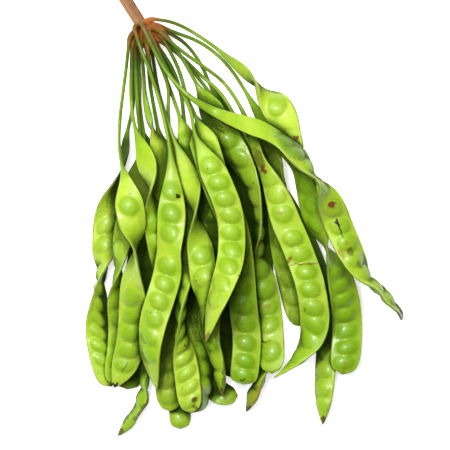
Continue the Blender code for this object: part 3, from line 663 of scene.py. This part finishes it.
def fine_half_thickness(shape, along, across):
    """Half of a pod's thickness, with a round bead along each margin and softly risen seeds."""
    half_width = shape.half_width(along)
    blade = shape.fullness(along)
    round_stalk = shape.stalk_radius(along) * np.sqrt(np.maximum(1.0 - across**2, 0.0))
    bead = np.minimum(BEAD_RADIUS, BEAD_SHARE * half_width)
    inward = (1.0 - np.abs(across)) * half_width / bead
    rounded = bead * np.sqrt(np.clip(1.0 - (1.0 - inward) ** 2, 0.0, 1.0))
    web = web_half_thickness(half_width, across, FINE_RIM_HALF_THICKNESS)
    relief, dome = shape.seed_relief(along, across * half_width, DOME_SOFTNESS)
    inner = (web + relief) * np.clip(inward, 0.0, 1.0) ** 0.5
    flat = (rounded**BEAD_BLEND + inner**BEAD_BLEND) ** (1.0 / BEAD_BLEND)
    return round_stalk * (1.0 - blade) + flat * blade, dome * blade


def ring_faces(rings, sides):
    """Quads of a closed tube made of rings, one after the other, and an end face on each end."""
    start = np.arange(rings - 1)[:, None] * sides
    k = np.arange(sides)[None, :]
    after = (k + 1) % sides
    quads = np.stack([start + k, start + after, start + sides + after, start + sides + k], axis=-1)
    faces = quads.reshape(-1, 4).tolist()
    faces.append(list(reversed(range(sides))))
    faces.append(list(range((rings - 1) * sides, rings * sides)))
    return faces


def new_piece(name, points, faces):
    """A smooth mesh object from points in millimetres, none of them under the floor."""
    points = points.copy()
    points[:, 2] = np.maximum(points[:, 2], 0.0)
    mesh = bpy.data.meshes.new(name)
    mesh.from_pydata((points * MM).tolist(), [], faces)
    face_out(mesh)
    mesh.shade_smooth()
    piece = bpy.data.objects.new(name, mesh)
    bpy.context.scene.collection.objects.link(piece)
    return piece


def face_out(mesh):
    """Turns the faces so that they look outwards."""
    work = bmesh.new()
    work.from_mesh(mesh)
    bmesh.ops.recalc_face_normals(work, faces=work.faces[:])
    work.to_mesh(mesh)
    work.free()


def keep_numbers(mesh, name, numbers):
    """One number at each point, which the material reads."""
    attribute = mesh.attributes.new(name, "FLOAT", "POINT")
    attribute.data.foreach_set("value", np.asarray(numbers, np.float32))


def keep_vectors(mesh, name, *columns):
    """Three numbers at each point, which the material reads."""
    vectors = np.stack(columns, axis=-1)
    attribute = mesh.attributes.new(name, "FLOAT_VECTOR", "POINT")
    attribute.data.foreach_set("vector", vectors.astype(np.float32).ravel())


def there_and_back(rows, sign=1):
    """Each row from margin to margin over the upper face, and back over the lower one."""
    return np.concatenate([rows, sign * rows[:, -2:0:-1]], axis=1)


def make_pod(shape, pile):
    """A fine loft of the pod, with where each point lies on it kept for its material."""
    first = STUB_LENGTH - STALK_IN_STUB
    count = int((shape.length - first) / STATION_STEP)
    stations = np.linspace(first, shape.length, count)
    to_end = shape.length - stations
    closing = np.sqrt(np.clip(to_end / NIB_ROUND, 0.0, 1.0))
    closing[-1] = LAST_RING_SHARE
    centres, across, face = frames(shape, stations)
    parts = np.sin(np.linspace(-math.pi / 2, math.pi / 2, SIDE_POINTS))[None, :]
    thick, dome = fine_half_thickness(shape, stations[:, None], parts)
    out = there_and_back(parts * (shape.half_width(stations) * closing)[:, None])
    thick = there_and_back(thick * closing[:, None], -1)
    dome = there_and_back(dome)
    rings = centres[:, None] + out[:, :, None] * across[:, None]
    rings = rings + thick[:, :, None] * face[:, None]
    points = rings.reshape(-1, 3)
    piece = new_piece(shape.pod.name + "_skin", points, ring_faces(*out.shape))
    tip = np.clip(1 - to_end / (shape.length - shape.tip_start), 0, 1)
    rows = (stations, shape.fullness(stations), tip)
    along, blade, tip = (np.broadcast_to(row[:, None], out.shape) for row in rows)
    spread = np.broadcast_to(there_and_back(parts), out.shape)
    keep_vectors(piece.data, "place", along, out, spread)
    keep_vectors(piece.data, "form", blade, dome, tip)
    keep_numbers(piece.data, "sky", pile.open_sky(points))
    piece.data.materials.append(pod_material(shape.pod.name))
    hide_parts(shape.pod.name)
    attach(piece, "root")


def tube_rings(centres, aheads, radii, sides):
    """Circles of points square to each direction, with no twist from one to the next."""
    turns = np.arange(sides)[:, None] * 2 * math.pi / sides
    side = np.cross([0.0, 0.0, 1.0], aheads[0])
    rings = []
    for centre, ahead, radius in zip(centres, aheads, radii):
        side = side - side.dot(ahead) * ahead
        side /= np.linalg.norm(side)
        up = np.cross(ahead, side)
        rings.append(centre + radius * (np.cos(turns) * side + np.sin(turns) * up))
    return np.vstack(rings)


def tube(centres, radii, sides):
    """Points and faces of a closed tube along the centres."""
    ahead = np.gradient(centres, axis=0)
    ahead /= np.linalg.norm(ahead, axis=1)[:, None]
    return tube_rings(centres, ahead, radii, sides), ring_faces(len(centres), sides)


def stub_tube(shape):
    """A stub from its root in the head to where the pod's thin stalk begins, on a smooth bend."""
    tip, foot = frames(shape, STUB_LENGTH * np.array([1.0, STUB_FOOT]))[0]
    joint = on_sheet([HEAD_JOINT])[0]
    root = foot.copy()
    root[:2] = joint + STUB_ROOT_SPREAD * (foot[:2] - joint)
    root[2] = np.clip(foot[2] - STUB_ROOT_DROP, STUB_ROOT_LOWEST, HEAD_HEIGHT - STUB_ROOT_COVER)
    t = np.linspace(0.0, 1.0, STUB_RINGS)[:, None]
    bend = (1 - t) ** 2 * tip + 2 * t * (1 - t) * foot + t**2 * root
    tip_radius = shape.stalk_radius(STUB_LENGTH) + STUB_SHRINKAGE
    radii = tip_radius * (1 - t[:, 0]) + STUB_ROOT_RADIUS * t[:, 0]
    return tube(bend, radii, STEM_SIDES // 2)


def main_stalk_tube():
    """The tan stalk, from its cut end down into the head."""
    points = on_sheet(MAIN_STALK_ROUTE)
    rows, _ = spline_through(np.column_stack([points, np.zeros(len(points))]))
    heights = np.linspace(MAIN_STALK_RADIUS - REST_CUT, HEAD_HEIGHT / 2, len(rows))
    middle = np.column_stack([rows[:, :2], heights])
    return tube(middle, np.full(len(middle), MAIN_STALK_RADIUS), STEM_SIDES)


def head_ball():
    """The head's squat ball as a closed net of points and faces."""
    work = bmesh.new()
    bmesh.ops.create_icosphere(work, subdivisions=HEAD_SUBDIVISIONS, radius=1.0)
    ways = np.array([v.co for v in work.verts])
    faces = [[v.index for v in f.verts] for f in work.faces]
    work.free()
    centre = np.array([*on_sheet([HEAD_CENTRE])[0], HEAD_HEIGHT / 2])
    size = np.array([*HEAD_HALF_SIZE, HEAD_HEIGHT / 2])
    blocky = (np.abs(ways) ** HEAD_BLOCKINESS).sum(axis=1) ** (-1 / HEAD_BLOCKINESS)
    wart = 1.0 + WART_DEPTH * np.prod(np.sin(ways * WART_COUNTS + 1.0), axis=1)
    return centre + ways * size * (blocky * wart)[:, None], faces


def make_fruiting_stalk(laid):
    """Main stalk, head and stubs, grown together into one skin."""
    nets = [main_stalk_tube(), head_ball()]
    nets += [stub_tube(shape) for shape in laid]
    points = np.vstack([p for p, _ in nets])
    starts = np.cumsum([0] + [len(p) for p, _ in nets[:-1]])
    faces = [[k + start for k in face] for start, (_, net) in zip(starts, nets) for face in net]
    piece = new_piece("fruiting_stalk_skin", points, faces)
    remesh = piece.modifiers.new("grown_together", "REMESH")
    remesh.mode = "VOXEL"
    remesh.voxel_size = STEM_VOXEL * MM
    smooth = piece.modifiers.new("smooth", "SMOOTH")
    smooth.factor = 0.5
    smooth.iterations = STEM_SMOOTHING
    apply_modifiers(piece)
    piece.data.shade_smooth()
    piece.data.materials.append(bark_material())
    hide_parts("fruiting_stalk")
    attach(piece, "root")


def apply_modifiers(piece):
    """Makes what the modifiers do the piece's own mesh."""
    evaluated = piece.evaluated_get(bpy.context.evaluated_depsgraph_get())
    mesh = bpy.data.meshes.new_from_object(evaluated)
    piece.modifiers.clear()
    piece.data = mesh


class Net:
    """A material's nodes, with short calls for the ones used here."""

    def __init__(self, name):
        self.material = bpy.data.materials.new(name)
        self.material.use_nodes = True
        self.tree = self.material.node_tree
        self.shader = self.tree.nodes["Principled BSDF"]

    def add(self, kind, **settings):
        made = self.tree.nodes.new("ShaderNode" + kind)
        for key, value in settings.items():
            setattr(made, key, value)
        return made

    def put(self, socket, value):
        """Links a socket, or sets a number or a colour."""
        if isinstance(value, bpy.types.NodeSocket):
            self.tree.links.new(value, socket)
        elif isinstance(value, tuple) and socket.type == "RGBA":
            socket.default_value = (*value, 1.0)
        else:
            socket.default_value = value

    def shade(self, name, value):
        """Gives the shader one of its values."""
        self.put(self.shader.inputs[name], value)

    def math(self, operation, a, b=0.0, clamp=False):
        made = self.add("Math", operation=operation, use_clamp=clamp)
        self.put(made.inputs[0], a)
        self.put(made.inputs[1], b)
        return made.outputs[0]

    def times(self, a, b):
        return self.math("MULTIPLY", a, b)

    def vector(self, operation, a, b=(0.0, 0.0, 0.0), out=0):
        made = self.add("VectorMath", operation=operation)
        self.put(made.inputs[0], a)
        self.put(made.inputs[1], b)
        return made.outputs[out]

    def ramp(self, value, low, high, to_low=0.0, to_high=1.0):
        """A smooth step of the value between low and high."""
        made = self.add("MapRange", interpolation_type="SMOOTHSTEP")
        for socket, given in zip(made.inputs, (value, low, high, to_low, to_high)):
            self.put(socket, given)
        return made.outputs[0]

    def mix(self, share, a, b):
        """Colour a, with this share of it turned to colour b."""
        made = self.add("Mix", data_type="RGBA")
        for name, given in (("Factor_Float", share), ("A_Color", a), ("B_Color", b)):
            self.put(next(s for s in made.inputs if s.identifier == name), given)
        return next(s for s in made.outputs if s.identifier == "Result_Color")

    def noise(self, vector, scale, detail=3.0, rough=0.5, distortion=0.0):
        made = self.add("TexNoise")
        self.put(made.inputs["Vector"], vector)
        for key, value in (("Scale", scale), ("Detail", detail), ("Roughness", rough)):
            made.inputs[key].default_value = value
        made.inputs["Distortion"].default_value = distortion
        return made.outputs["Fac"]

    def parts(self, vector):
        made = self.add("SeparateXYZ")
        self.put(made.inputs[0], vector)
        return made.outputs

    def joined(self, *numbers):
        """A vector of three numbers."""
        made = self.add("CombineXYZ")
        for socket, number in zip(made.inputs, numbers):
            self.put(socket, number)
        return made.outputs[0]

    def read(self, name, kind="Vector"):
        """What the mesh keeps at each point under this name."""
        return self.add("Attribute", attribute_name=name).outputs[kind]

    def bump(self, height, strength, distance):
        """Fine relief on the skin, in its shading only."""
        made = self.add("Bump")
        made.inputs["Strength"].default_value = strength
        made.inputs["Distance"].default_value = distance
        self.put(made.inputs["Height"], height)
        self.shade("Normal", made.outputs[0])


class PodSkin(Net):
    """A pod's waxy skin, with the patterns that its parts share."""

    def __init__(self, pod):
        super().__init__("skin_" + pod)
        self.pod = pod
        number = int(pod[-2:])
        self.where = self.add("TexCoord").outputs["Object"]
        self.along, off, spread = self.parts(self.read("place"))
        self.blade, self.dome, self.tip = self.parts(self.read("form"))
        self.edge = self.math("ABSOLUTE", spread)
        shift = tuple(number * step for step in PATTERN_SHIFT)
        self.shifted = self.vector("ADD", self.where, shift)
        self.patches = self.noise(self.shifted, PATCH_SCALE)
        self.mottle = self.noise(self.shifted, MOTTLE_SCALE, 4.0, 0.6)
        lines = [self.times(way, scale) for way, scale in zip((self.along, off), VEIN_SCALES)]
        self.veins = self.noise(self.joined(*lines, number), 1.0, 4.0, 0.6)

    def blade_colour(self):
        """Mottled lime, deeper over the seeds, with painted shade in a ring round each seed and
        over some whole pods, and pale cross veins.
        """
        colour = self.mix(self.ramp(self.patches, 0.35, 0.68), LIME, YELLOW_LIME)
        broad = self.ramp(self.noise(self.shifted, BROAD_SCALE, 2.0), 0.45, 0.75, 0.0, 0.6)
        # random broad deeper patches, with the painted shade of some whole pods added
        deeper = self.math("ADD", broad, LOW_POD_PAINTED_SHADE.get(self.pod, 0.0), clamp=True)
        colour = self.mix(deeper, colour, DEEP_LIME)
        over_seed = self.ramp(self.dome, 0.0, 0.45, 0.0, SEED_SHARES.get(self.pod, SEED_SHARE))
        colour = self.mix(over_seed, colour, SEED_GREEN)
        # painted shade: a darker ring round each seed's foot, where its dome slopes away
        seed_ring_shade = self.times(self.ramp(self.dome, 0.02, 0.16), self.ramp(self.dome, 0.42, 0.2))
        colour = self.mix(self.times(seed_ring_shade, SEED_RING_SHADE_SHARE), colour, DEEP_LIME)
        colour = self.mix(self.ramp(self.veins, 0.5, 0.75, 0.0, 0.22), colour, MARGIN_LIME)
        return self.mix(self.ramp(self.mottle, 0.5, 0.8, 0.0, 0.3), colour, DEEP_LIME)

    def with_margin(self, colour):
        """Adds the pale line along the margin, browned in places, and the dark line on it: the
        darker suture and painted shade on the edge.
        """
        pale = self.times(
            self.ramp(self.edge, 0.86, 0.96), self.ramp(self.patches, 0.3, 0.6, 0.15, 0.5))
        colour = self.mix(pale, colour, MARGIN_LIME)
        browned = self.times(pale, self.ramp(self.patches, 0.52, 0.66))
        colour = self.mix(browned, colour, UMBER)
        # the dark line along the margin: suture colour, and painted shade on the edge
        return self.mix(self.ramp(self.edge, 0.965, 0.99, 0.0, 0.7), colour, SEAM_AND_EDGE_SHADE_GREEN)

    def stalk_colour(self):
        """The thin stalk: olive turning to green, with painted shade darkening its sides, and brown
        where it leaves the head.
        """
        colour = self.mix(self.ramp(self.along, 20.0, 80.0), STALK_OLIVE, STALK_GREEN)
        colour = self.mix(self.ramp(self.mottle, 0.45, 0.7, 0.0, 0.4), colour, STALK_GREEN)
        # painted shade: darker olive towards the stalk's sides
        colour = self.mix(self.ramp(self.edge, 0.3, 0.95, 0.0, 0.6), colour, STALK_OLIVE)
        return self.mix(self.ramp(self.along, 32.0, 6.0), colour, STALK_ROOT)

    def with_tip(self, colour):
        """Browns the far tip, unevenly."""
        uneven = self.times(self.math("SUBTRACT", self.patches, 0.5), 0.3)
        browned = self.ramp(self.math("ADD", self.tip, uneven), 0.9, 1.03, 0.0, 0.85)
        return self.mix(browned, colour, TIP_BROWN)

    def with_specks(self, colour):
        """Adds a small dark speck in some of the cells of a net."""
        cells = self.add("TexVoronoi", feature="F1")
        self.put(cells.inputs["Vector"], self.shifted)
        cells.inputs["Scale"].default_value = SPECK_SCALE
        chosen = self.ramp(self.parts(cells.outputs["Color"])[0], 0.45, 0.49)
        specks = self.times(self.ramp(cells.outputs["Distance"], 0.07, 0.035), chosen)
        return self.mix(self.times(specks, 0.85), colour, UMBER)

    def with_marks(self, colour):
        """Adds the pod's own scars, cracks and bruises, and the painted shade and painted sheen
        marks.
        """
        wobble = self.times(self.math("SUBTRACT", self.mottle, 0.5), MARK_RAGGEDNESS)
        noise = self.add("TexNoise")
        self.put(noise.inputs["Vector"], self.shifted)
        noise.inputs["Scale"].default_value = WARP_SCALE
        warp = self.vector("SUBTRACT", noise.outputs["Color"], (0.5, 0.5, 0.5))
        warp = self.vector("MULTIPLY", warp, (MARK_WARP, MARK_WARP, 0.0))
        warped = self.vector("ADD", self.where, warp)
        for mark in MARKS:
            if mark.pod == self.pod:
                colour = self.mix(self.spot(mark, warped, wobble), colour, mark.colour)
        return colour

    def spot(self, mark, warped, wobble):
        """The mark's strength inside it, fading to 0 over a ragged edge."""
        centre = on_sheet([(mark.x, mark.y)])[0] * MM
        moved = self.vector("SUBTRACT", warped, (centre[0], centre[1], 0.0))
        turned = self.add("VectorRotate", rotation_type="Z_AXIS")
        self.put(turned.inputs["Vector"], moved)
        turned.inputs["Angle"].default_value = -math.radians(mark.turn)
        size = (mark.half_length * GRID * MM, mark.half_width * GRID * MM)
        flat = self.vector("MULTIPLY", turned.outputs[0], (1 / size[0], 1 / size[1], 0.0))
        reach = self.vector("LENGTH", flat, out=1)
        ragged = self.math("ADD", reach, wobble)
        return self.times(self.ramp(ragged, *MARK_EDGE), mark.strength)

    def painted_shade_share(self):
        """How far painted shade turns the skin to a deep green: the more, the less sky is open over
        it.
        """
        on_blade = PAINTED_SHADE_SHARES.get(self.pod, PAINTED_SHADE_SHARE)
        most = self.ramp(self.blade, 0.0, 0.4, PAINTED_SHADE_STALK_SHARE, on_blade)
        return self.ramp(self.read("sky", "Fac"), *PAINTED_SHADE_SKY, most, 0.0)

    def relief(self):
        """Veins, grain and shallow dents."""
        grain = self.noise(self.shifted, GRAIN_SCALE)
        dents = self.noise(self.shifted, DENT_SCALE, 3.0, 0.55, 0.4)
        fine = self.math("ADD", self.times(self.veins, 0.5), self.times(grain, 0.2))
        return self.math("ADD", fine, self.times(dents, 3.0))


def pod_material(pod):
    """Waxy green skin: lime blade, deeper over the seeds, pale margins, olive stalk, brown tip.
    Painted shade turns skin that the other pods hide from the sky a deep green, and it is dull."""
    net = PodSkin(pod)
    colour = net.with_margin(net.blade_colour())
    colour = net.mix(net.ramp(net.blade, 0.0, 0.5), net.stalk_colour(), colour)
    colour = net.with_marks(net.with_specks(net.with_tip(colour)))
    hidden = net.painted_shade_share()
    # painted shade: skin that other pods hide from the sky is turned to a deep green
    net.shade("Base Color", net.mix(hidden, colour, PAINTED_SHADE_GREEN))
    rough = net.ramp(net.mottle, 0.3, 0.7, *SKIN_ROUGHNESS)
    dull = net.ramp(hidden, 0.0, 0.6, *HIDDEN_ROUGHNESS)
    net.shade("Roughness", net.math("MAXIMUM", rough, dull))
    net.shade("Specular IOR Level", SKIN_SPECULAR)
    net.shade("Coat Weight", net.ramp(hidden, 0.0, 0.4, SKIN_COAT, 0.0))
    net.shade("Coat Roughness", SKIN_COAT_ROUGHNESS)
    net.bump(net.relief(), *SKIN_BUMP)
    return net.material


def bark_material():
    """Tan stalk with fine lengthwise grain and a painted light streak down one side, and an orange
    to dark red head.
    """
    net = Net("bark")
    where = net.add("TexCoord").outputs["Object"]
    joint = on_sheet([HEAD_JOINT])[0] * MM
    run = on_sheet([MAIN_STALK_ROUTE[0]])[0] * MM - joint
    run /= np.linalg.norm(run)
    moved = net.vector("SUBTRACT", where, (joint[0], joint[1], 0.0))
    up_stalk = net.vector("DOT_PRODUCT", moved, (run[0], run[1], 0.0), out=1)
    aside = net.vector("DOT_PRODUCT", moved, (-run[1], run[0], 0.0), out=1)
    ways = (up_stalk, aside, net.parts(where)[2])
    lines = [net.times(way, scale) for way, scale in zip(ways, BARK_LINE_SCALES)]
    grain = net.noise(net.joined(*lines), 1.0, 4.0, 0.6)
    patches = net.noise(where, BARK_PATCH_SCALE, 4.0, 0.6)
    bark = net.mix(net.ramp(patches, 0.35, 0.7), BARK_TAN, BARK_PINK)
    bark = net.mix(net.ramp(grain, 0.55, 0.8, 0.0, 0.4), bark, BARK_PINK)
    # painted light: the stalk paler on one side of its axis, in patches
    pale = net.times(net.ramp(aside, -0.001, 0.004), net.ramp(patches, 0.35, 0.6, 0.2, 0.6))
    bark = net.mix(pale, bark, BARK_PAINTED_LIGHT)
    head = head_colour(net, where, up_stalk, patches)
    net.shade("Base Color", net.mix(net.ramp(up_stalk, 0.010, 0.004), bark, head))
    net.shade("Roughness", net.ramp(patches, 0.3, 0.7, *BARK_ROUGHNESS))
    net.shade("Specular IOR Level", BARK_SPECULAR)
    net.bump(net.math("ADD", grain, net.times(patches, 1.2)), *BARK_BUMP)
    return net.material


def head_colour(net, where, up_stalk, patches):
    """Orange and dark red, and olive brown out on the stubs."""
    fine = net.noise(where, BARK_GRAIN_SCALE)
    colour = net.mix(net.ramp(patches, 0.4, 0.7, 0.0, 0.6), HEAD_ORANGE, HEAD_RED)
    colour = net.mix(net.ramp(up_stalk, -0.014, -0.036, 0.0, 0.5), colour, HEAD_RED)
    colour = net.mix(net.ramp(fine, 0.62, 0.78, 0.0, 0.35), colour, HEAD_BLACK)
    ball = on_sheet([HEAD_CENTRE])[0] * MM
    away = net.vector("DISTANCE", where, (ball[0], ball[1], HEAD_HEIGHT / 2 * MM), out=1)
    return net.mix(net.ramp(away, 0.021, 0.038), colour, STALK_ROOT)


def make_floor():
    """The white floor that the bunch lies on, far wider than the view."""
    mesh = bpy.data.meshes.new("floor")
    half = FLOOR_SIZE / 2
    corners = [(-half, -half, 0.0), (half, -half, 0.0), (half, half, 0.0), (-half, half, 0.0)]
    mesh.from_pydata(corners, [], [(0, 1, 2, 3)])
    floor = bpy.data.objects.new("floor", mesh)
    bpy.context.scene.collection.objects.link(floor)
    net = Net("floor_white")
    net.shade("Base Color", FLOOR_WHITE)
    net.shade("Roughness", FLOOR_ROUGHNESS)
    net.shade("Emission Color", (1.0, 1.0, 1.0))
    net.shade("Emission Strength", FLOOR_GLOW)
    mesh.materials.append(net.material)


def add_light(name, place, aim, size, power):
    """A soft square light."""
    data = bpy.data.lights.new(name, "AREA")
    data.shape = "SQUARE"
    data.size = size
    data.energy = power
    light = bpy.data.objects.new(name, data)
    light.location = place
    way = np.array(aim) - np.array(place)
    light.rotation_euler = mathutils.Vector(way).to_track_quat("-Z", "Y").to_euler()
    bpy.context.scene.collection.objects.link(light)


def light_the_scene():
    """A broad soft light, a small one for the sparkle, and a faint white surrounding."""
    world = bpy.data.worlds.new("studio")
    world.use_nodes = True
    background = world.node_tree.nodes["Background"]
    background.inputs["Color"].default_value = (1.0, 1.0, 1.0, 1.0)
    background.inputs["Strength"].default_value = WORLD_STRENGTH
    bpy.context.scene.world = world
    add_light("soft", SOFT_PLACE, (0.0, 0.0, 0.0), SOFT_SIZE, SOFT_POWER)
    add_light("sparkle", SPARKLE_PLACE, (0.0, 0.0, 0.0), SPARKLE_SIZE, SPARKLE_POWER)
    view = bpy.context.scene.view_settings
    view.view_transform = "Standard"
    view.look = "None"
    view.gamma = VIEW_GAMMA


def add_camera():
    """Looks straight down from far off, over the middle of the photograph's frame."""
    data = bpy.data.cameras.new("camera")
    data.sensor_width = SENSOR
    data.lens = SENSOR * CAMERA_DISTANCE / (VIEW_WIDTH * GRID * MM)
    data.clip_end = 10 * CAMERA_DISTANCE
    camera = bpy.data.objects.new("camera", data)
    centre = on_sheet([VIEW_CENTRE])[0] * MM
    camera.location = (centre[0], centre[1], CAMERA_DISTANCE + SHARP_HEIGHT * MM)
    bpy.context.scene.collection.objects.link(camera)
    bpy.context.scene.camera = camera


add_camera()
light_the_scene()
make_floor()
laid_pods, laid_pile = lay_pods()
for laid_pod in laid_pods:
    make_pod(laid_pod, laid_pile)
make_fruiting_stalk(laid_pods)
